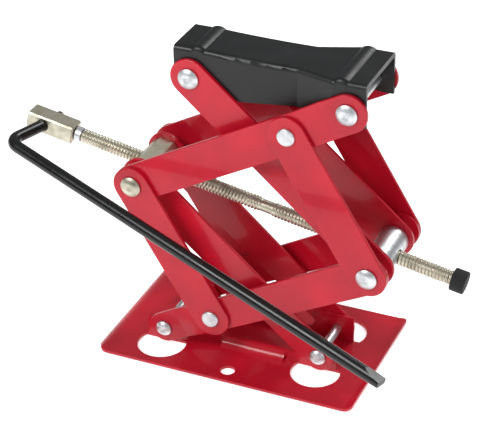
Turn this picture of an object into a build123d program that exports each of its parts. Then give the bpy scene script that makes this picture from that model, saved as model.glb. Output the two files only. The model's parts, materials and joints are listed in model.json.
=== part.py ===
from build123d import *
import os
from math import acos, atan2, cos, degrees, radians, sin

os.makedirs("parts", exist_ok=True)

# Double scissor jack. Origin: on the ground, midway between the two base pins.
# X runs along the base, the screw lies in the XZ plane, and Z points up.

# Linkage, pin centre to pin centre
pin_spacing = 139.0       # the two base pins, and the two saddle pins
arm_length = 213.0        # each of the four pairs of long arms
link_length = 134.0       # each of the two pairs of short links
stub_length = 54.5        # from a left arm's outer pin to the rivet of its link
open_angle = 28.28        # slope of the left arms in the modelled position
pin_height = 14.5         # base pins above the ground

# Flat arm and link plates
plate = 3.0               # thickness
plate_gap = 0.4           # between plates that turn on each other
outer_face = 36.6         # inner face of the left arms from the middle, at the nuts
plate_width = 33.0
base_end_width = 27.6      # lower arms, at the base pins
plate_edge = 0.7          # rounding of the plates' outer edges
overrun = 1.0             # how far a cut runs past a face
crank_bend = 14.0         # bend radius where an arm is cranked inwards
left_crank = (18.0, 44.0)  # cranked stretch of a left arm, from its base or saddle pin

# Pins, rivets and trunnions
pin_radius = 4.0
journal_radius = 6.0      # trunnion ends of the nuts
turning_fit = 0.15        # radial play of a plate on its pin
nut_head_radius = 8.8
nut_head = 3.5            # height
saddle_head_radius = 8.8
base_head_radius = 7.0
pin_head = 3.8            # height
rivet_head_radius = 7.6
rivet_head = 2.5          # height
rivet_tail_radius = 6.2
rivet_tail = 1.6          # height
dimple_radius = 3.0       # hollow left in a head by the riveting tool
dimple_depth = 0.8
dimple_floor = 1.1        # radius of its flat bottom
head_rim = 0.35           # straight edge of a head, as a share of its height
crown_drop = 0.18         # fall of its dome halfway out, as a share of its height

# Walls of the saddle and of the base: closer together at one end than at the other
wide_wall = 32.8          # outer face from the middle, at the left arms' pins
narrow_wall = 22.6        # outer face from the middle, at the right arms' pins
narrow_flat = 92.0        # straight stretch of wall from the right arms' pin
wide_flat = 14.0          # straight stretch of wall from the left arms' pin

# Saddle, pressed from one sheet
saddle_sheet = 2.8
saddle_end = 14.2         # past each pin
saddle_rise = 25.6        # top face above the pins
saddle_drop = 11.4        # lower edge below the pins
saddle_belly = 3.0        # how far the lower edge swells below and above that
saddle_bend = 4.2         # outer radius along the top edges
saddle_inner_bend = 2.0
saddle_dip = 1.5          # hollow of the top between the ribs
rib_start = 15.0          # rib from the end of the saddle
rib_width = 12.0
rib_height = 2.0

# Base, pressed from one sheet
base_length = 233.0
base_width = 142.0
base_sheet = 2.5
base_corner = 6.0
base_curl = 10.0          # length of the turned-up ends
base_curl_rise = 2.5
wall_height = 11.0        # low wall between the lugs, above the ground
lug_top = 7.0             # above the pins
lug_outer = 17.0          # past the left pin, outwards
lug_inner = 17.0          # past the left pin, inwards
right_lug_outer = 14.5
right_lug_inner = 16.0
lug_slope = 8.0           # run of the lug's inner edge down to the low wall
right_lug_slope = 8.0
lug_corner = 5.0
right_lug_top = 13.0      # above the pin
right_lug_corner = 12.0
foot_radius = 8.4         # hollow where the wall meets the plate
foot_span = (-20.0, 38.0)  # stretch of the wall with that hollow
arm_hole_radius = 21.25   # clearance holes under the arm ends
arm_hole_offset = 9.3     # hole centre outside the wall
bolt_hole_radius = 6.2
bolt_hole_edge = 13.5     # hole centre from the long edge of the base

# Nuts on the screw
right_nut_radius = 12.6
left_nut_width = 23.0     # across the flats
left_nut_chamfer = 5.0
nut_edge = 0.8

# Screw, measured along its axis from the middle between the nuts
screw_radius = 6.25
screw_edge = 1.0
thread_fit = 0.4          # radial room round the screw in the nuts
screw_right_end = 168.0
middle_neck_radius = 5.2
middle_neck = 10.0        # length of the plain neck between the two threads
thread_left_end = 173.8
neck_radius = 4.6
collar_radius = 6.4
collar_length = 6.0
collar_gap = 0.3
collar_edge = 0.5

# Head block, end cap and handle
block_start = 180.8
block_length = 44.0
block_width = 17.0
block_height = 16.0
block_edge = 1.2
cap_start = 165.4
cap_length = 12.0
cap_radius = 9.6
cap_edge = 1.2
handle_radius = 5.2
handle_fit = 0.3
handle_place = 207.0      # cross hole along the screw
handle_skew = 16.0        # slope of the cross hole from square
handle_short_leg = 48.4   # from the screw's axis to the corner
handle_stub = 15.0        # out of the back of the block
handle_bend = 11.0        # radius at the middle of the rod
handle_long_leg = 397.0
tip_length = 16.0         # flattened tip
tip_thickness = 5.0
rod_edge = 0.8            # at the stub's end


# A unit vector in the XZ plane, this many degrees above the X axis.
def heading(angle):
    return Vector(cos(radians(angle)), 0, sin(radians(angle)))


# The plane through a pin in which an arm's outline lies, facing the front.
def outline_plane(pin, angle):
    return Plane(origin=pin, x_dir=heading(angle), z_dir=(0, -1, 0))


# The plane along an arm, seen on its edge: x along the arm, y towards the front.
def edge_plane(pin, angle):
    return Plane(origin=pin, x_dir=heading(angle), z_dir=(sin(radians(angle)), 0, -cos(radians(angle))))


# The plane for turning a pin: x outwards from its axis, y along it towards the front.
def turning_plane(pin):
    return Plane(origin=pin, x_dir=(1, 0, 0), z_dir=(0, 0, -1))


# Pin centres. The slope of the right arms closes the lower half of the linkage:
# base pin, right arm, left nut, short link, stub of the left arm.
left_pin = Vector(-pin_spacing / 2, 0, pin_height)
right_pin = Vector(pin_spacing / 2, 0, pin_height)
lower_rivet = left_pin + heading(open_angle) * stub_length
span = right_pin - lower_rivet
closing = (span.length**2 + arm_length**2 - link_length**2) / (2 * arm_length)
steep_angle = degrees(acos(closing / span.length) - atan2(span.Z, span.X))
right_nut_centre = left_pin + heading(open_angle) * arm_length
left_nut_centre = right_pin + heading(180 - steep_angle) * arm_length
saddle_left_pin = right_nut_centre + heading(180 - steep_angle) * arm_length
saddle_right_pin = saddle_left_pin + Vector(pin_spacing, 0, 0)
upper_rivet = saddle_right_pin - heading(open_angle) * stub_length
link_way = left_nut_centre - lower_rivet
link_angle = degrees(atan2(link_way.Z, link_way.X))

# Screw axis, pointing from the middle towards the head block
screw_middle = (left_nut_centre + right_nut_centre) * 0.5
screw_way = (left_nut_centre - right_nut_centre).normalized()
screw_up = Vector(screw_way.Z, 0, -screw_way.X)
screw_plane = Plane(origin=screw_middle, x_dir=screw_up, z_dir=screw_way)

# Inner faces of the plates, from the middle outwards
right_arm_face = narrow_wall + plate_gap
nut_half_length = right_arm_face - plate_gap
left_arm_face = outer_face
link_face = left_arm_face + plate + plate_gap
left_end_face = wide_wall + plate_gap
link_outside = link_face + plate


# A plate from one pin to another, cranked so that its first end lies closer in.
def arm_plate(pin, angle, length, first_width, faces, crank, holes, extra_holes=()):
    first_face, last_face = faces
    first_hole, last_hole = holes
    radius = plate_width / 2
    with BuildPart() as arm:
        with BuildSketch(outline_plane(pin, angle)):
            Circle(first_width / 2)
            with Locations((length, 0)):
                Circle(radius)
            make_hull()
        extrude(amount=last_face + 2 * plate)
        with BuildSketch(edge_plane(pin, angle)) as section:
            with BuildLine():
                Polyline(
                    (-plate_width, first_face),
                    (crank[0], first_face),
                    (crank[1], last_face),
                    (length + plate_width, last_face),
                    (length + plate_width, last_face + plate),
                    (crank[1], last_face + plate),
                    (crank[0], first_face + plate),
                    (-plate_width, first_face + plate),
                    close=True,
                )
            make_face()
            if last_face > first_face:
                bends = [v for v in section.vertices() if 0 < edge_plane(pin, angle).to_local_coords(v).X < length]
                fillet(bends, crank_bend)
        extrude(amount=radius + overrun, both=True, mode=Mode.INTERSECT)
        with BuildSketch(outline_plane(pin, angle)):
            Circle(first_hole)
            with Locations((length, 0)):
                Circle(last_hole)
            for place, hole in extra_holes:
                with Locations((place, 0)):
                    Circle(hole)
        extrude(amount=last_face + 2 * plate, mode=Mode.SUBTRACT)
        outside = arm.faces().filter_by(lambda f: f.normal_at(f.center()).Y < -0.5)
        rims = [f.outer_wire().edges() for f in outside]
        shared = [e for rim in rims for e in rim if sum(e in other for other in rims) == 1]
        fillet(shared, plate_edge)
    return arm.part


# The outline of one end of a rivet or pin, turned round its axis: a shank from one
# depth to another, then a domed head with a hollow in its middle.
def headed_end(pin, shank_radius, shank_from, head_from, head_radius, height, hollow):
    rim = height * head_rim
    with BuildPart() as end:
        with BuildSketch(turning_plane(pin)):
            with BuildLine():
                Polyline((0, shank_from), (shank_radius, shank_from), (shank_radius, head_from))
                Line((shank_radius, head_from), (head_radius, head_from))
                Line((head_radius, head_from), (head_radius, head_from + rim))
                if hollow:
                    top = head_from + height
                    crown = ((head_radius + dimple_radius) / 2, top - height * crown_drop)
                    ThreePointArc((head_radius, head_from + rim), crown, (dimple_radius, top))
                    Polyline(
                        (dimple_radius, top),
                        (dimple_floor, top - dimple_depth),
                        (0, top - dimple_depth),
                        (0, shank_from),
                    )
                else:
                    corner = head_radius - (height - rim)
                    RadiusArc((head_radius, head_from + rim), (corner, head_from + height), -(height - rim))
                    Line((corner, head_from + height), (0, head_from + height))
                    Line((0, head_from + height), (0, shank_from))
            make_face()
        revolve(axis=Axis(pin, (0, 1, 0)))
    return end.part


# Writes a finished solid under its node name.
def keep(solid, name):
    solid.label = name
    export_step(solid, f"parts/{name}.step")


# Writes a front piece and its mirror image at the back.
def keep_pair(solid, name):
    keep(solid, f"{name}_front")
    keep(mirror(solid, about=Plane.XZ), f"{name}_back")


# --- Long arms and short links -----------------------------------------------------
arm_hole = pin_radius + turning_fit
journal_hole = journal_radius + turning_fit
link_hole = [(stub_length, pin_radius)]

pinned = (arm_hole, journal_hole)
riveted = (pin_radius, journal_hole)
left_faces = (left_end_face, left_arm_face)
right_faces = (right_arm_face, right_arm_face)
link_faces = (link_face, link_face)

lower_left_arm = arm_plate(
    left_pin, open_angle, arm_length, base_end_width, left_faces, left_crank, pinned, link_hole
)
upper_left_arm = arm_plate(
    saddle_right_pin, open_angle + 180, arm_length, plate_width, left_faces, left_crank, pinned, link_hole
)
lower_right_arm = arm_plate(
    right_pin, 180 - steep_angle, arm_length, base_end_width, right_faces, left_crank, pinned
)
upper_right_arm = arm_plate(
    saddle_left_pin, -steep_angle, arm_length, plate_width, right_faces, left_crank, pinned
)
lower_link = arm_plate(lower_rivet, link_angle, link_length, plate_width, link_faces, left_crank, riveted)
upper_link = arm_plate(
    upper_rivet, link_angle - 180, link_length, plate_width, link_faces, left_crank, riveted
)

keep_pair(lower_left_arm, "lower_left_arm")
keep_pair(upper_left_arm, "upper_left_arm")
keep_pair(lower_right_arm, "lower_right_arm")
keep_pair(upper_right_arm, "upper_right_arm")
keep_pair(lower_link, "lower_link")
keep_pair(upper_link, "upper_link")

# --- Rivets between links and left arms ----------------------------------------------
# Each is split between the plates: the outer head turns with the link, the inner
# tail with the arm.
for level, rivet in (("lower", lower_rivet), ("upper", upper_rivet)):
    outer = headed_end(rivet, pin_radius, link_face, link_outside, rivet_head_radius, rivet_head, False)
    with BuildPart() as tail:
        with BuildSketch(turning_plane(rivet)):
            with BuildLine():
                Polyline(
                    (0, left_arm_face - rivet_tail),
                    (rivet_tail_radius - 1, left_arm_face - rivet_tail),
                    (rivet_tail_radius, left_arm_face - rivet_tail + 1),
                    (rivet_tail_radius, left_arm_face),
                    (pin_radius, left_arm_face),
                    (pin_radius, left_arm_face + plate),
                    (0, left_arm_face + plate),
                    close=True,
                )
            make_face()
        revolve(axis=Axis(rivet, (0, 1, 0)))
    keep(Compound([outer, mirror(outer, about=Plane.XZ)]), f"{level}_link_rivets")
    keep(Compound([tail.part, mirror(tail.part, about=Plane.XZ)]), f"{level}_arm_rivet_tails")


# A pin right through, with a riveted head at each end.
def through_pin(pin, end_face, head_radius):
    head_from = end_face + plate + plate_gap
    front = headed_end(pin, pin_radius, 0, head_from, head_radius, pin_head, True)
    with BuildPart() as whole:
        add(front)
        mirror(about=Plane.XZ)
    return whole.part


keep(through_pin(left_pin, left_end_face, base_head_radius), "base_pin_left")
keep(through_pin(right_pin, right_arm_face, base_head_radius), "base_pin_right")
keep(through_pin(saddle_right_pin, left_end_face, saddle_head_radius), "saddle_pin_right")
keep(through_pin(saddle_left_pin, right_arm_face, saddle_head_radius), "saddle_pin_left")

# --- Nuts ----------------------------------------------------------------------------
nut_head_from = link_outside + plate_gap
right_nut_end = headed_end(
    right_nut_centre, journal_radius, nut_half_length, nut_head_from, nut_head_radius, nut_head, True
)
left_nut_end = headed_end(
    left_nut_centre, journal_radius, nut_half_length, nut_head_from, nut_head_radius, nut_head, True
)

with BuildPart() as right_nut:
    with BuildSketch(outline_plane(right_nut_centre, 0)):
        Circle(right_nut_radius)
    extrude(amount=nut_half_length)
    chamfer(right_nut.edges().sort_by(Axis.Y)[0], nut_edge)
    add(right_nut_end)
    mirror(about=Plane.XZ)
    with BuildSketch(Plane(origin=right_nut_centre, x_dir=screw_up, z_dir=screw_way)):
        Circle(screw_radius + thread_fit)
    extrude(amount=right_nut_radius + overrun, both=True, mode=Mode.SUBTRACT)
keep(right_nut.part, "right_nut")

with BuildPart() as left_nut:
    with BuildSketch(Plane(origin=left_nut_centre, x_dir=screw_way, z_dir=(0, -1, 0))) as square:
        Rectangle(left_nut_width, left_nut_width)
        chamfer(square.vertices(), left_nut_chamfer)
    extrude(amount=nut_half_length)
    add(left_nut_end)
    mirror(about=Plane.XZ)
    with BuildSketch(Plane(origin=left_nut_centre, x_dir=screw_up, z_dir=screw_way)):
        Circle(screw_radius + thread_fit)
    extrude(amount=left_nut_width, both=True, mode=Mode.SUBTRACT)
keep(left_nut.part, "left_nut")

# --- Saddle --------------------------------------------------------------------------
saddle_first_x = saddle_left_pin.X - saddle_end
saddle_last_x = saddle_right_pin.X + saddle_end
saddle_top = saddle_left_pin.Z + saddle_rise
saddle_foot = saddle_left_pin.Z - saddle_drop


# Plan corners of a pressing whose walls run straight from the right arms' pin, then
# flare to the left arms' pin. Inset moves them inwards.
def wall_plan(first_x, last_x, narrow_x, wide_x, inset):
    way = 1 if wide_x > narrow_x else -1
    half = [
        (first_x, narrow_wall - inset),
        (narrow_x + way * narrow_flat, narrow_wall - inset),
        (wide_x - way * wide_flat, wide_wall - inset),
        (last_x, wide_wall - inset),
    ]
    return half + [(x, -y) for x, y in reversed(half)]


with BuildPart() as saddle_hollow:
    with BuildSketch(Plane.XY.offset(saddle_foot - 2 * saddle_belly)):
        with BuildLine():
            Polyline(
                *wall_plan(
                    saddle_first_x - overrun,
                    saddle_last_x + overrun,
                    saddle_left_pin.X,
                    saddle_right_pin.X,
                    saddle_sheet,
                ),
                close=True,
            )
        make_face()
    extrude(amount=saddle_rise + saddle_drop + 2 * saddle_belly - saddle_sheet - saddle_dip)
    upper_edges = saddle_hollow.edges().group_by(Axis.Z)[-1]
    fillet(upper_edges.filter_by(lambda e: abs(e.tangent_at(0.5).X) > 0.5), saddle_inner_bend)

middle_x = (saddle_first_x + saddle_last_x) / 2
left_rib_x = saddle_first_x + rib_start + rib_width / 2
right_rib_x = saddle_last_x - rib_start - rib_width / 2


# The saddle's whole outside as an upright prism, with its top at a height.
def saddle_prism(height):
    with BuildPart() as prism:
        with BuildSketch(Plane.XY.offset(saddle_foot - 2 * saddle_belly)):
            with BuildLine():
                Polyline(
                    *wall_plan(saddle_first_x, saddle_last_x, saddle_left_pin.X, saddle_right_pin.X, 0), close=True
                )
            make_face()
        extrude(amount=height - saddle_foot + 2 * saddle_belly)
    return prism.part


# A pressed rib across the top, rounded down over both edges of the saddle.
def saddle_rib(rib_x):
    rib_first = rib_x - rib_width / 2
    rib_last = rib_x + rib_width / 2
    rib_foot = saddle_top - 2 * saddle_bend
    with BuildPart() as rib:
        add(saddle_prism(saddle_top + 2 * rib_height))
        with BuildSketch(Plane.XZ):
            with BuildLine():
                Line((rib_first, saddle_top), (rib_first, rib_foot))
                Line((rib_first, rib_foot), (rib_last, rib_foot))
                Line((rib_last, rib_foot), (rib_last, saddle_top))
                ThreePointArc((rib_last, saddle_top), (rib_x, saddle_top + rib_height), (rib_first, saddle_top))
            make_face()
        extrude(amount=base_width, both=True, mode=Mode.INTERSECT)
        crest = rib.edges().filter_by(lambda e: e.center().Z > saddle_top + 0.1)
        fillet(crest.filter_by(lambda e: abs(e.tangent_at(0.5).Y) < 0.3), saddle_bend)
    return rib.part


with BuildPart() as saddle:
    add(saddle_prism(saddle_top + 2 * rib_height))
    with BuildSketch(Plane.XZ):
        with BuildLine():
            Line((saddle_first_x, saddle_foot), (saddle_first_x, saddle_top))
            Line((saddle_first_x, saddle_top), (left_rib_x, saddle_top))
            ThreePointArc((left_rib_x, saddle_top), (middle_x, saddle_top - saddle_dip), (right_rib_x, saddle_top))
            Line((right_rib_x, saddle_top), (saddle_last_x, saddle_top))
            Line((saddle_last_x, saddle_top), (saddle_last_x, saddle_foot))
            Spline(
                (saddle_last_x, saddle_foot),
                (middle_x + pin_spacing / 4, saddle_foot + saddle_belly),
                (middle_x - pin_spacing / 4, saddle_foot - saddle_belly),
                (saddle_first_x, saddle_foot),
                tangents=[(-1, 0), (-1, 0)],
            )
        make_face()
    extrude(amount=base_width, both=True, mode=Mode.INTERSECT)
    rims = saddle.edges().filter_by(
        lambda e: e.center().Z > saddle_top - saddle_dip - 0.5
        and abs(e.tangent_at(0.5).Y) < 0.3
        and abs(e.center().Y) > narrow_wall - 1
    )
    fillet(rims, saddle_bend)
    add(saddle_rib(left_rib_x))
    add(saddle_rib(right_rib_x))
    add(saddle_hollow.part, mode=Mode.SUBTRACT)
    with BuildSketch(outline_plane(saddle_left_pin, 0).offset(-base_width)):
        Circle(pin_radius)
        with Locations((pin_spacing, 0)):
            Circle(pin_radius)
    extrude(amount=2 * base_width, mode=Mode.SUBTRACT)
keep(saddle.part, "saddle")

# --- Base ----------------------------------------------------------------------------
half_length = base_length / 2
flat_end = half_length - base_curl
with BuildPart() as base_plate:
    # plate with its ends turned up
    with BuildSketch(Plane.XZ):
        with BuildLine():
            Line((-flat_end, 0), (flat_end, 0))
            TangentArc((flat_end, 0), (half_length, base_curl_rise), tangent=(1, 0))
            Line((half_length, base_curl_rise), (half_length, base_curl_rise + base_sheet))
            TangentArc(
                (flat_end, base_sheet), (half_length, base_curl_rise + base_sheet), tangent=(1, 0)
            )
            Line((flat_end, base_sheet), (-flat_end, base_sheet))
            TangentArc(
                (-flat_end, base_sheet), (-half_length, base_curl_rise + base_sheet), tangent=(-1, 0)
            )
            Line((-half_length, base_curl_rise + base_sheet), (-half_length, base_curl_rise))
            TangentArc((-flat_end, 0), (-half_length, base_curl_rise), tangent=(-1, 0))
        make_face()
    extrude(amount=base_width / 2, both=True)
    with BuildSketch(Plane.XY.offset(-overrun)):
        RectangleRounded(base_length, base_width, base_corner)
    extrude(amount=base_width, mode=Mode.INTERSECT)
    # low middle stretch of the two walls, and the hollow at its foot
    with BuildSketch(Plane.XY.offset(base_sheet)):
        with BuildLine():
            Polyline(*wall_plan(half_length, -half_length, right_pin.X, left_pin.X, 0), close=True)
        make_face()
        with BuildLine():
            Polyline(*wall_plan(half_length, -half_length, right_pin.X, left_pin.X, base_sheet), close=True)
        make_face(mode=Mode.SUBTRACT)
        with Locations(((foot_span[0] + foot_span[1]) / 2, 0)):
            Rectangle(foot_span[1] - foot_span[0], base_width, mode=Mode.INTERSECT)
    extrude(amount=wall_height - base_sheet)
    outer_feet = base_plate.edges().filter_by(
        lambda e: abs(e.center().Z - base_sheet) < 0.01 and abs(abs(e.center().Y) - narrow_wall) < 0.01
    )
    fillet(outer_feet, foot_radius)
base_floor = base_plate.part

with BuildPart() as base_lugs:
    with BuildSketch(Plane.XY.offset(base_sheet)):
        with BuildLine():
            Polyline(*wall_plan(half_length, -half_length, right_pin.X, left_pin.X, 0), close=True)
        make_face()
        with BuildLine():
            Polyline(*wall_plan(half_length, -half_length, right_pin.X, left_pin.X, base_sheet), close=True)
        make_face(mode=Mode.SUBTRACT)
    extrude(amount=pin_height + right_lug_top)
    with BuildSketch(Plane.XZ) as lug_profile:
        with BuildLine():
            Polyline(
                (left_pin.X - lug_outer, 0),
                (left_pin.X - lug_outer, pin_height + lug_top),
                (left_pin.X + lug_inner, pin_height + lug_top),
                (left_pin.X + lug_inner + lug_slope, wall_height),
                (right_pin.X - right_lug_inner - right_lug_slope, wall_height),
                (right_pin.X - right_lug_inner, pin_height + right_lug_top),
                (right_pin.X + right_lug_outer, pin_height + right_lug_top),
                (right_pin.X + right_lug_outer, 0),
                close=True,
            )
        make_face()
        fillet(lug_profile.vertices().filter_by(lambda v: v.Z > pin_height and v.X > 0), right_lug_corner)
        fillet(lug_profile.vertices().filter_by(lambda v: v.Z > pin_height and v.X < 0), lug_corner)
    extrude(amount=base_width, both=True, mode=Mode.INTERSECT)

with BuildPart() as base:
    add(base_floor)
    add(base_lugs.part)
    # clearance holes under the arm ends, outside the walls
    for pin, wall in ((left_pin, wide_wall), (right_pin, narrow_wall)):
        for side in (1, -1):
            with BuildSketch(Plane.XY.offset(-overrun)):
                with Locations((pin.X, side * (wall + arm_hole_offset))):
                    Circle(arm_hole_radius)
                with Locations((pin.X, side * (wall - arm_hole_radius))):
                    Rectangle(3 * arm_hole_radius, 2 * arm_hole_radius, mode=Mode.SUBTRACT)
            extrude(amount=wall_height, mode=Mode.SUBTRACT)
    # bolt holes in the middle of the long edges
    with BuildSketch(Plane.XY.offset(-overrun)):
        with Locations((0, base_width / 2 - bolt_hole_edge), (0, bolt_hole_edge - base_width / 2)):
            Circle(bolt_hole_radius)
    extrude(amount=wall_height, mode=Mode.SUBTRACT)
    with BuildSketch(outline_plane(left_pin, 0).offset(-base_width)):
        Circle(pin_radius)
        with Locations((pin_spacing, 0)):
            Circle(pin_radius)
    extrude(amount=2 * base_width, mode=Mode.SUBTRACT)
keep(base.part, "base")

# --- Screw ---------------------------------------------------------------------------
with BuildPart() as screw:
    with BuildSketch(screw_plane.offset(-screw_right_end)):
        Circle(screw_radius)
    extrude(amount=screw_right_end + thread_left_end)
    chamfer(screw.edges().filter_by(GeomType.CIRCLE), screw_edge)
    with BuildSketch(screw_plane.offset(-middle_neck / 2)):
        Circle(screw_radius + overrun)
        Circle(middle_neck_radius, mode=Mode.SUBTRACT)
    extrude(amount=middle_neck, mode=Mode.SUBTRACT)
    with BuildSketch(screw_plane.offset(thread_left_end)):
        Circle(neck_radius)
    extrude(amount=block_start - thread_left_end)
keep(screw.part, "screw")

with BuildPart() as thrust_collar:
    with BuildSketch(screw_plane.offset(thread_left_end + collar_gap)):
        Circle(collar_radius)
        Circle(neck_radius + turning_fit, mode=Mode.SUBTRACT)
    extrude(amount=collar_length)
    outer_rims = thrust_collar.edges().filter_by(GeomType.CIRCLE)
    chamfer(outer_rims.filter_by(lambda e: e.radius > collar_radius - 0.1), collar_edge)
keep(thrust_collar.part, "thrust_collar")

# The cross hole leans away from square, in the plane of the screw and the Y axis.
hole_centre = screw_middle + screw_way * handle_place
hole_way = Vector(0, -cos(radians(handle_skew)), 0) + screw_way * sin(radians(handle_skew))
leg_way = Vector(0, -sin(radians(handle_skew)), 0) - screw_way * cos(radians(handle_skew))

with BuildPart() as head_block:
    with BuildSketch(screw_plane.offset(block_start)):
        Rectangle(block_height, block_width)
    extrude(amount=block_length)
    chamfer(head_block.edges(), block_edge)
    with BuildSketch(Plane(origin=hole_centre, x_dir=screw_up, z_dir=hole_way)):
        Circle(handle_radius + handle_fit)
    extrude(amount=2 * block_width, both=True, mode=Mode.SUBTRACT)
keep(head_block.part, "head_block")

with BuildPart() as end_cap:
    with BuildSketch(screw_plane.offset(-cap_start)):
        Circle(cap_radius)
    extrude(amount=-cap_length)
    fillet(end_cap.edges().filter_by(GeomType.CIRCLE), cap_edge)
    with BuildSketch(screw_plane.offset(-cap_start)):
        Circle(screw_radius)
    extrude(amount=cap_start - screw_right_end, mode=Mode.SUBTRACT)
keep(end_cap.part, "end_cap")

# --- Handle --------------------------------------------------------------------------
corner = hole_centre + hole_way * handle_short_leg
tip = corner + leg_way * handle_long_leg
with BuildPart() as handle:
    with BuildLine():
        FilletPolyline(hole_centre - hole_way * handle_stub, corner, tip, radius=handle_bend)
    with BuildSketch(Plane(origin=hole_centre - hole_way * handle_stub, x_dir=screw_up, z_dir=hole_way)):
        Circle(handle_radius)
    sweep()
    # chisel tip: two flats
    for side in (1, -1):
        with BuildSketch(Plane(origin=tip, x_dir=-leg_way, z_dir=hole_way)):
            with BuildLine():
                Polyline(
                    (-overrun, side * tip_thickness / 2),
                    (0, side * tip_thickness / 2),
                    (tip_length, side * handle_radius),
                    (tip_length, side * (handle_radius + overrun)),
                    (-overrun, side * (handle_radius + overrun)),
                    close=True,
                )
            make_face()
        extrude(amount=2 * handle_radius, both=True, mode=Mode.SUBTRACT)
    stub_face = handle.faces().sort_by_distance(hole_centre - hole_way * handle_stub)[0]
    chamfer(stub_face.edges(), rod_edge)
keep(handle.part, "handle")
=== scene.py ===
import json
import bpy
import bmesh
import numpy as np
from mathutils import Matrix, Vector


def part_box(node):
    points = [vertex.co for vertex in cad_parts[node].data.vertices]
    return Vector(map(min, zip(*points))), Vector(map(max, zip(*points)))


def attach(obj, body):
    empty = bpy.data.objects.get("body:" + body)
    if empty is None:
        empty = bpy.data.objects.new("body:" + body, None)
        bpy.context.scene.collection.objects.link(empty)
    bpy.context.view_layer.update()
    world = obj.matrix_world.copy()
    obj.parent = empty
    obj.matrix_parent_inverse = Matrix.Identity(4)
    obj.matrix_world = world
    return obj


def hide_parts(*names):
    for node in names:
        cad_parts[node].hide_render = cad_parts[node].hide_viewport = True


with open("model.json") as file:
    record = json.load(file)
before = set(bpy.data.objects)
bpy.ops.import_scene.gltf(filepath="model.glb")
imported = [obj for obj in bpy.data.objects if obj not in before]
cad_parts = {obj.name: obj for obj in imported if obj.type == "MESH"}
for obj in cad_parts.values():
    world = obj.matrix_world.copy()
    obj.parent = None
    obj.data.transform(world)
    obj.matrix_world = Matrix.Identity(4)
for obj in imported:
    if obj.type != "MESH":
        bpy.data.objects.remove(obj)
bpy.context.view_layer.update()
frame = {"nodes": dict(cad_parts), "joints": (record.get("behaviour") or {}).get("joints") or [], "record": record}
nodes = frame["nodes"]
mm = 0.001
joints = {joint["name"]: joint for joint in frame["joints"]}
print("frame loaded:", len(nodes), "nodes")


# A colour written as sRGB hex, turned to linear light: below 0.04045 divide by 12.92,
# above it take ((c + 0.055) / 1.055) to the power 2.4.
def hexColour(text):
    srgb = np.array([int(text[i:i + 2], 16) for i in (1, 3, 5)]) / 255
    linear = np.where(srgb <= 0.04045, srgb / 12.92, ((srgb + 0.055) / 1.055) ** 2.4)
    return (*linear.tolist(), 1.0)


# Adds one node. inputs holds numbers, colours or other nodes' outputs by socket name or
# number; the rest are the node's own settings.
def addNode(tree, kind, inputs=None, **settings):
    node = tree.nodes.new(kind)
    for name, value in settings.items():
        setattr(node, name, value)
    for key, value in (inputs or {}).items():
        if isinstance(value, bpy.types.NodeSocket):
            tree.links.new(value, node.inputs[key])
        else:
            node.inputs[key].default_value = value
    return node


# A new material with an empty tree, and its Object coordinates.
def newMaterial(name):
    material = bpy.data.materials.new(name)
    material.use_nodes = True
    tree = material.node_tree
    tree.nodes.clear()
    place = addNode(tree, "ShaderNodeTexCoord").outputs["Object"]
    return material, tree, place


# Closes the tree: shader to output.
def closeMaterial(material, tree, shader):
    output = addNode(tree, "ShaderNodeOutputMaterial")
    tree.links.new(shader.outputs[0], output.inputs["Surface"])
    return material


# Noise whose patches have the given size in mm.
def addNoise(tree, place, size, detail, **inputs):
    return addNode(tree, "ShaderNodeTexNoise", {
        "Vector": place, "Scale": 1 / (size * mm), "Detail": detail, **inputs})


# A tone that blends from one colour to another between two levels of a pattern.
def addTone(tree, pattern, levels, first, second):
    tone = addNode(tree, "ShaderNodeValToRGB", {0: pattern.outputs["Fac"]})
    start, end = tone.color_ramp.elements
    start.position, end.position = levels
    start.color = hexColour(first)
    end.color = hexColour(second)
    return tone


# Roughness spread about the look's own value, from one end to the other as a pattern
# rises between two levels.
def addRoughness(tree, pattern, look):
    low, high = look["roughLevels"]
    first, second = look["roughSpread"]
    return addNode(tree, "ShaderNodeMapRange", {
        "Value": pattern.outputs["Fac"], 1: low, 2: high,
        3: look["roughness"] + first, 4: look["roughness"] + second})


# Fine relief from a pattern's height. Depth is in mm.
def addRelief(tree, height, strength, depth):
    return addNode(tree, "ShaderNodeBump", {"Height": height, "Strength": strength, "Distance": depth * mm})


# Stoved gloss enamel, sprayed on pressed steel and baked: a deep crimson film with a
# clear wet gloss, the slight orange peel of a spray gun, and a tone that drifts a little
# with the film's thickness.
enamelLook = {
    "crimson": "#c4122a",
    "deep": "#b00e26",
    "toneSize": 45,        # mm, drift of the tone
    "toneLevels": (0.35, 0.65),
    "peelSize": 2.6,       # mm, orange peel
    "peelStrength": 0.10,
    "peelDepth": 0.35,     # mm
    "speckSize": 0.9,      # mm, dust under the film, drawn coarse enough to show
    "roughness": 0.32,
    "roughLevels": (0.3, 0.8),
    "roughSpread": (-0.05, 0.08),
    "shine": 0.28,         # strength of the film's own reflection
    "gloss": 0.28,
    "glossRoughness": 0.06,
}


def makeEnamel():
    look = enamelLook
    material, tree, place = newMaterial("stoved red enamel")
    drift = addNoise(tree, place, look["toneSize"], 3.0)
    tone = addTone(tree, drift, look["toneLevels"], look["deep"], look["crimson"])
    speck = addNoise(tree, place, look["speckSize"], 1.0)
    matt = addRoughness(tree, speck, look)
    peel = addNoise(tree, place, look["peelSize"], 0.0)
    relief = addRelief(tree, peel.outputs["Fac"], look["peelStrength"], look["peelDepth"])
    shader = addNode(tree, "ShaderNodeBsdfPrincipled", {
        "Base Color": tone.outputs["Color"], "Roughness": matt.outputs[0],
        "IOR": 1.5, "Specular IOR Level": look["shine"],
        "Coat Weight": look["gloss"], "Coat Roughness": look["glossRoughness"],
        "Normal": relief.outputs["Normal"]})
    return closeMaterial(material, tree, shader)


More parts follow.
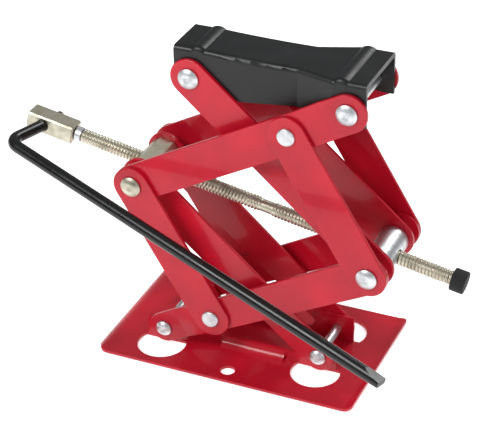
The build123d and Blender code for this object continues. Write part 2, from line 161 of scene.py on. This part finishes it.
# Black chassis paint, dipped and air dried on the pressed saddle: near black with a
# satin sheen, faint runs and a greyer bloom where it has dried thin.
satinLook = {
    "black": "#0c0d0e",
    "bloom": "#17191a",
    "bloomSize": 22,       # mm
    "bloomLevels": (0.4, 0.75),
    "bloomGrit": 0.6,      # how ragged the bloom's edge is
    "grainSize": 1.4,      # mm, texture of the dried film
    "grainStrength": 0.16,
    "grainDepth": 0.25,    # mm
    "roughness": 0.38,
    "roughLevels": (0.3, 0.7),
    "roughSpread": (-0.06, 0.08),
    "shine": 0.42,
}


def makeSatinBlack():
    look = satinLook
    material, tree, place = newMaterial("satin black chassis paint")
    bloom = addNoise(tree, place, look["bloomSize"], 4.0, Roughness=look["bloomGrit"])
    tone = addTone(tree, bloom, look["bloomLevels"], look["black"], look["bloom"])
    matt = addRoughness(tree, bloom, look)
    grain = addNoise(tree, place, look["grainSize"], 2.0)
    relief = addRelief(tree, grain.outputs["Fac"], look["grainStrength"], look["grainDepth"])
    shader = addNode(tree, "ShaderNodeBsdfPrincipled", {
        "Base Color": tone.outputs["Color"], "Roughness": matt.outputs[0],
        "IOR": 1.5, "Specular IOR Level": look["shine"], "Normal": relief.outputs["Normal"]})
    return closeMaterial(material, tree, shader)


# Black powder coat, stoved on the drawn rod: a smooth half-gloss film with a fine
# pebble that breaks the long highlight very slightly.
powderLook = {
    "black": "#08090a",
    "pebbleSize": 1.1,     # mm
    "pebbleStrength": 0.08,
    "pebbleDepth": 0.12,   # mm
    "rubSize": 18,         # mm, where hands have rubbed it
    "roughness": 0.24,
    "roughLevels": (0.3, 0.7),
    "roughSpread": (-0.05, 0.07),
    "shine": 0.4,
}


def makePowderCoat():
    look = powderLook
    material, tree, place = newMaterial("black powder coat")
    pebble = addNode(tree, "ShaderNodeTexVoronoi", {
        "Vector": place, "Scale": 1 / (look["pebbleSize"] * mm)}, feature="SMOOTH_F1")
    relief = addRelief(tree, pebble.outputs["Distance"], look["pebbleStrength"], look["pebbleDepth"])
    rub = addNoise(tree, place, look["rubSize"], 3.0)
    matt = addRoughness(tree, rub, look)
    shader = addNode(tree, "ShaderNodeBsdfPrincipled", {
        "Base Color": hexColour(look["black"]), "Roughness": matt.outputs[0],
        "IOR": 1.5, "Specular IOR Level": look["shine"], "Normal": relief.outputs["Normal"]})
    return closeMaterial(material, tree, shader)


# Bright zinc plate on cold-headed steel: pale silver with a soft, slightly uneven gloss
# and small dents left by the riveting tool.
zincLook = {
    "bright": "#dfe1e3",
    "dull": "#b9bcc0",
    "toneLevels": (0.3, 0.65),
    "dentSize": 2.4,       # mm
    "dentStrength": 0.10,
    "dentDepth": 0.4,      # mm
    "patchSize": 6,        # mm
    "roughness": 0.40,
    "roughLevels": (0.3, 0.7),
    "roughSpread": (0.08, -0.04),
}


def makeZinc():
    look = zincLook
    material, tree, place = newMaterial("bright zinc plate")
    patch = addNoise(tree, place, look["patchSize"], 3.0)
    tone = addTone(tree, patch, look["toneLevels"], look["dull"], look["bright"])
    matt = addRoughness(tree, patch, look)
    dent = addNoise(tree, place, look["dentSize"], 2.0)
    relief = addRelief(tree, dent.outputs["Fac"], look["dentStrength"], look["dentDepth"])
    shader = addNode(tree, "ShaderNodeBsdfPrincipled", {
        "Base Color": tone.outputs["Color"], "Metallic": 1.0,
        "Roughness": matt.outputs[0], "Normal": relief.outputs["Normal"]})
    return closeMaterial(material, tree, shader)


# Dull nickel plate on turned and milled steel: a warm, slightly yellow silver with fine
# tool marks across the axis and a thin film of oil that darkens it in patches.
nickelLook = {
    "warm": "#cac6b4",
    "oiled": "#aaa592",
    "toneLevels": (0.3, 0.6),
    "patchSize": 9,        # mm
    "markSize": 0.7,       # mm, tool marks, drawn coarser than real ones so that they show
    "markStrength": 0.06,
    "markDepth": 0.06,     # mm
    "markWander": 1.5,     # how far the marks stray from straight
    "roughness": 0.38,
    "roughLevels": (0.3, 0.7),
    "roughSpread": (0.1, -0.04),
}
waveBands = 20             # bands that a wave pattern draws in one unit of its scale


def makeNickel():
    look = nickelLook
    material, tree, place = newMaterial("dull nickel plate")
    patch = addNoise(tree, place, look["patchSize"], 4.0)
    tone = addTone(tree, patch, look["toneLevels"], look["oiled"], look["warm"])
    matt = addRoughness(tree, patch, look)
    mark = addNode(tree, "ShaderNodeTexWave", {
        "Vector": place, "Scale": 1 / (look["markSize"] * mm) / waveBands,
        "Distortion": look["markWander"], "Detail": 2.0}, bands_direction="X")
    relief = addRelief(tree, mark.outputs["Fac"], look["markStrength"], look["markDepth"])
    shader = addNode(tree, "ShaderNodeBsdfPrincipled", {
        "Base Color": tone.outputs["Color"], "Metallic": 1.0,
        "Roughness": matt.outputs[0], "Normal": relief.outputs["Normal"]})
    return closeMaterial(material, tree, shader)


# Moulded black rubber: matt, softly grained and greyer where the light grazes it.
rubberLook = {
    "black": "#121314",
    "grainSize": 0.8,      # mm
    "grainStrength": 0.5,
    "grainDepth": 0.3,     # mm
    "roughness": 0.78,
    "roughLevels": (0.3, 0.7),
    "roughSpread": (-0.08, 0.1),
}


def makeRubber():
    look = rubberLook
    material, tree, place = newMaterial("moulded black rubber")
    grain = addNoise(tree, place, look["grainSize"], 3.0)
    relief = addRelief(tree, grain.outputs["Fac"], look["grainStrength"], look["grainDepth"])
    matt = addRoughness(tree, grain, look)
    shader = addNode(tree, "ShaderNodeBsdfPrincipled", {
        "Base Color": hexColour(look["black"]), "Roughness": matt.outputs[0],
        "IOR": 1.52, "Normal": relief.outputs["Normal"]})
    return closeMaterial(material, tree, shader)


finishes = {
    "red_enamel": makeEnamel(),
    "black_paint": makeSatinBlack(),
    "black_coating": makePowderCoat(),
    "zinc_plate": makeZinc(),
    "nickel_plate": makeNickel(),
    "cap_rubber": makeRubber(),
}
print("finishes made:", len(finishes))

# every CAD node takes the finish of its slot in the record
for subpart in frame["record"]["subparts"]:
    mesh = nodes[subpart["node"]].data
    mesh.materials.clear()
    mesh.materials.append(finishes[subpart["material_slot"]])
print("finishes given to the nodes")


mergeDistance = 1e-6       # m


# A surface from a grid of points, rows along it and columns round it. Each face joins
# four neighbours, the last column joins the first, and rows that shrink to one point
# are merged into a pole.
def gridPiece(name, points, finish, body):
    rows, columns = points.shape[:2]
    row, column = np.meshgrid(np.arange(rows - 1), np.arange(columns), indexing="ij")
    following = (column + 1) % columns
    faces = np.stack([
        row * columns + column, row * columns + following,
        (row + 1) * columns + following, (row + 1) * columns + column], axis=-1).reshape(-1, 4)
    mesh = bpy.data.meshes.new(name)
    mesh.vertices.add(rows * columns)
    mesh.vertices.foreach_set("co", points.astype(np.float32).ravel())
    mesh.loops.add(faces.size)
    mesh.loops.foreach_set("vertex_index", faces.astype(np.int32).ravel())
    mesh.polygons.add(len(faces))
    mesh.polygons.foreach_set("loop_start", np.arange(0, faces.size, 4, dtype=np.int32))
    mesh.update(calc_edges=True)
    shell = bmesh.new()
    shell.from_mesh(mesh)
    bmesh.ops.remove_doubles(shell, verts=shell.verts, dist=mergeDistance)
    bmesh.ops.recalc_face_normals(shell, faces=shell.faces)
    shell.to_mesh(mesh)
    shell.free()
    mesh.polygons.foreach_set("use_smooth", np.ones(len(mesh.polygons), dtype=bool))
    mesh.materials.append(finish)
    piece = bpy.data.objects.new(name, mesh)
    bpy.context.scene.collection.objects.link(piece)
    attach(piece, body)
    return piece


# The screw, with a right-hand and a left-hand thread.
screwSizes = {
    "radius": 6.25,         # mm, over the crests
    "threadDepth": 0.85,
    "pitch": 3.0,
    "stepsPerPitch": 12,
    "columns": 48,
    "neckRadius": 5.2,      # plain neck between the two hands of thread
    "neckHalf": 5.0,
    "runOut": 3.0,          # the thread fades out over this length
    "rightEnd": -168.0,
    "leftEnd": 173.8,
    "endNeckRadius": 4.6,
    "endNeckEnd": 181.2,
    "endChamfer": 1.0,
}


# Radius of the screw at a place along it and an angle round it: a rounded triangle wave
# of the thread's phase, place / pitch minus or plus turns, so that the hand changes at
# the middle; the wave fades into the neck and the ends.
def screwRadius(place, turn, size):
    hand = np.sign(place)
    phase = (place / size["pitch"] + hand * turn / (2 * np.pi)) % 1.0
    wave = 1 - np.abs(2 * phase - 1)
    wave = wave * wave * (3 - 2 * wave)
    crest = size["radius"] - size["threadDepth"] * (1 - wave)
    fade = np.clip((np.abs(place) - size["neckHalf"]) / size["runOut"], 0, 1)
    faded = size["neckRadius"] + (crest - size["neckRadius"]) * fade
    radius = np.where(np.abs(place) < size["neckHalf"], size["neckRadius"], faded)
    ends = np.minimum(place - size["rightEnd"], size["leftEnd"] - place)
    return np.minimum(radius, size["radius"] - size["endChamfer"] + np.clip(ends, 0, None))


def makeScrew():
    size = screwSizes
    joint = joints["screw_spin"]
    middle, along = np.array(joint["pos_m"]), np.array(joint["axis"])
    along = along / np.linalg.norm(along)
    across = np.array([0.0, 1.0, 0.0])
    up = np.cross(along, across)
    count = int((size["leftEnd"] - size["rightEnd"]) / size["pitch"] * size["stepsPerPitch"])
    place = np.linspace(size["rightEnd"], size["leftEnd"], count)
    turn = np.linspace(0, 2 * np.pi, size["columns"], endpoint=False)
    radius = screwRadius(place[:, None], turn[None, :], size)
    # plain rows past both ends: a pole, the end face, the thread, then the neck
    plain = np.array([
        [size["rightEnd"], 0.0], [size["leftEnd"], size["endNeckRadius"]],
        [size["endNeckEnd"], size["endNeckRadius"]], [size["endNeckEnd"], 0.0]])
    allPlace = np.concatenate([plain[:1, 0], place, plain[1:, 0]])
    ring = np.ones((1, size["columns"]))
    allRadius = np.concatenate([plain[:1, 1:] * ring, radius, plain[1:, 1:] * ring])
    outward = np.cos(turn)[None, :, None] * across + np.sin(turn)[None, :, None] * up
    points = middle + allPlace[:, None, None] * mm * along + allRadius[..., None] * mm * outward
    piece = gridPiece("threaded_screw", points, finishes["nickel_plate"], "screw")
    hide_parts("screw")


makeScrew()
print("screw threaded")

# Marks of the riveting tool in the hollow of each domed head.
markSizes = {
    "radius": 2.9,          # mm, just inside the hollow
    "depth": 0.62,
    "lobes": 5,
    "lobeDepth": 0.5,       # share of the depth that the lobes take away
    "rows": 12,
    "columns": 60,
    "skirt": 0.9,           # mm
    "lobeRise": 3,          # the lobes reach full depth a third of the way out
}


# Depth below the top of a head at a distance from its middle: a bowl, 1 - (r / R)^2,
# made shallower in as many lobes as the tool has. A skirt closes it inside the head.
def makeRivetMarks(name, heads, body, slotName):
    size = markSizes
    turn = np.linspace(0, 2 * np.pi, size["columns"], endpoint=False)
    reach = np.linspace(0, 1, size["rows"])[:, None]
    bowl = 1 - reach ** 2
    ripple = np.sin(size["lobes"] * turn / 2)[None, :] ** 2
    lobe = 1 - size["lobeDepth"] * ripple * np.clip(size["lobeRise"] * reach, 0, 1)
    depth = np.concatenate([size["depth"] * bowl * lobe, np.full((2, size["columns"]), size["skirt"])])
    spread = np.concatenate([reach * size["radius"], [[size["radius"]], [0.0]]])
    shells = []
    for top, side in heads:
        x = top[0] + mm * spread * np.cos(turn)[None, :]
        z = top[2] + mm * spread * np.sin(turn)[None, :]
        y = top[1] - side * mm * depth
        shells.append(gridPiece(name, np.stack([x, y, z], axis=-1), finishes[slotName], body))
    first = shells[0]
    whole = bmesh.new()
    for shell in shells:
        whole.from_mesh(shell.data)
    whole.to_mesh(first.data)
    whole.free()
    for shell in shells[1:]:
        bpy.data.objects.remove(shell)


# Middle of the top of each head of a node: its box's middle, at both ends along Y.
def headTops(*names):
    tops = []
    for name in names:
        low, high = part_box(name)
        middle = (low + high) / 2
        tops += [((middle.x, high.y, middle.z), 1), ((middle.x, low.y, middle.z), -1)]
    return tops


makeRivetMarks("base_pin_marks", headTops("base_pin_left", "base_pin_right"), "base", "zinc_plate")
makeRivetMarks("saddle_pin_marks", headTops("saddle_pin_left", "saddle_pin_right"), "saddle", "zinc_plate")
makeRivetMarks("right_nut_marks", headTops("right_nut"), "right_nut", "zinc_plate")
makeRivetMarks("left_nut_marks", headTops("left_nut"), "left_nut", "nickel_plate")
print("rivet marks made")

# The studio: a white floor, a soft sky and three softboxes.
studio = {
    "floorHalf": 20.0,      # m
    "floorWhite": "#fbfbfb",
    "floorGlow": 0.60,      # light the card gives off, so that it stays white under a soft sky
    "floorSpeck": 12.0,
    "floorRoughness": (0.9, 1.0),
    "skyTop": "#ffffff",
    "skyLow": "#7d8288",
    "skyStrength": 0.42,
    "skyHeights": (-0.1, 0.8),  # heights between which the low colour gives way
    "aim": (0, 0, 0.14),    # m, where the lamps point
    "key": {"place": (-0.9, -1.5, 1.7), "size": 0.9, "power": 30},
    "fill": {"place": (1.7, -0.9, 1.0), "size": 0.7, "power": 6},
    "rim": {"place": (0.6, 1.5, 1.7), "size": 0.9, "power": 20},
}


# A flat square of the given half side, facing up.
def makeFloor():
    half = studio["floorHalf"]
    mesh = bpy.data.meshes.new("studio_floor")
    corners = [(-half, -half, 0), (half, -half, 0), (half, half, 0), (-half, half, 0)]
    mesh.from_pydata(corners, [], [(0, 1, 2, 3)])
    material, tree, place = newMaterial("matt white backdrop card")
    speck = addNode(tree, "ShaderNodeTexNoise", {
        "Vector": place, "Scale": studio["floorSpeck"], "Detail": 2.0})
    least, most = studio["floorRoughness"]
    matt = addNode(tree, "ShaderNodeMapRange", {"Value": speck.outputs["Fac"], 3: least, 4: most})
    shader = addNode(tree, "ShaderNodeBsdfPrincipled", {
        "Base Color": hexColour(studio["floorWhite"]), "Roughness": matt.outputs[0],
        "Specular IOR Level": 0.1,
        "Emission Color": hexColour(studio["floorWhite"]), "Emission Strength": studio["floorGlow"]})
    closeMaterial(material, tree, shader)
    mesh.materials.append(material)
    floor = bpy.data.objects.new("studio_floor", mesh)
    bpy.context.scene.collection.objects.link(floor)


# Sky: the low colour at the horizon blending to the top colour overhead.
def makeSky():
    world = bpy.data.worlds.new("soft studio sky")
    bpy.context.scene.world = world
    world.use_nodes = True
    tree = world.node_tree
    tree.nodes.clear()
    way = addNode(tree, "ShaderNodeTexCoord").outputs["Generated"]
    parts = addNode(tree, "ShaderNodeSeparateXYZ", {0: way})
    low, high = studio["skyHeights"]
    height = addNode(tree, "ShaderNodeMapRange", {"Value": parts.outputs["Z"], 1: low, 2: high})
    blend = addNode(tree, "ShaderNodeValToRGB", {0: height.outputs[0]})
    blend.color_ramp.elements[0].color = hexColour(studio["skyLow"])
    blend.color_ramp.elements[1].color = hexColour(studio["skyTop"])
    glow = addNode(tree, "ShaderNodeBackground", {
        "Color": blend.outputs["Color"], "Strength": studio["skyStrength"]})
    output = addNode(tree, "ShaderNodeOutputWorld")
    tree.links.new(glow.outputs[0], output.inputs["Surface"])


# A square softbox, turned to face the point that the studio's lamps aim at.
def makeSoftbox(name, place, size, power):
    light = bpy.data.lights.new(name, "AREA")
    light.shape = "SQUARE"
    light.size = size
    light.energy = power
    lamp = bpy.data.objects.new(name, light)
    lamp.location = place
    aim = Vector(studio["aim"]) - Vector(place)
    lamp.rotation_euler = aim.to_track_quat("-Z", "Y").to_euler()
    bpy.context.scene.collection.objects.link(lamp)


makeFloor()
makeSky()
for name in ("key", "fill", "rim"):
    makeSoftbox(name, **studio[name])
bpy.context.scene.view_settings.view_transform = "Standard"
print("studio lit")

# The camera's place, as angles and a distance from the point it looks at.
view = {
    "target": (-0.00224, 0.0, 0.1225),   # m
    "distance": 1.5216,                  # m
    "azimuth": 24.287,                   # degrees, from the front towards the screw's capped end
    "elevation": 31.352,
    "roll": -1.191,
    "lens": 130.7376,                    # mm
    "sensor": 36,                        # mm wide
}


# Camera axes from the view's angles: back points from the target to the camera, right
# is level, up completes them, and the roll turns right and up about back.
def makeCamera():
    azimuth, elevation, roll = np.radians([view["azimuth"], view["elevation"], view["roll"]])
    back = np.array([
        np.sin(azimuth) * np.cos(elevation), -np.cos(azimuth) * np.cos(elevation), np.sin(elevation)])
    level = np.array([np.cos(azimuth), np.sin(azimuth), 0.0])
    upright = np.cross(back, level)
    right = level * np.cos(roll) + upright * np.sin(roll)
    up = -level * np.sin(roll) + upright * np.cos(roll)
    data = bpy.data.cameras.new("product_camera")
    data.lens = view["lens"]
    data.sensor_width = view["sensor"]
    camera = bpy.data.objects.new("product_camera", data)
    turned = Matrix([right, up, back]).transposed().to_4x4()
    camera.matrix_world = Matrix.Translation(np.array(view["target"]) + back * view["distance"]) @ turned
    bpy.context.scene.collection.objects.link(camera)
    bpy.context.scene.camera = camera


makeCamera()
print("camera placed")
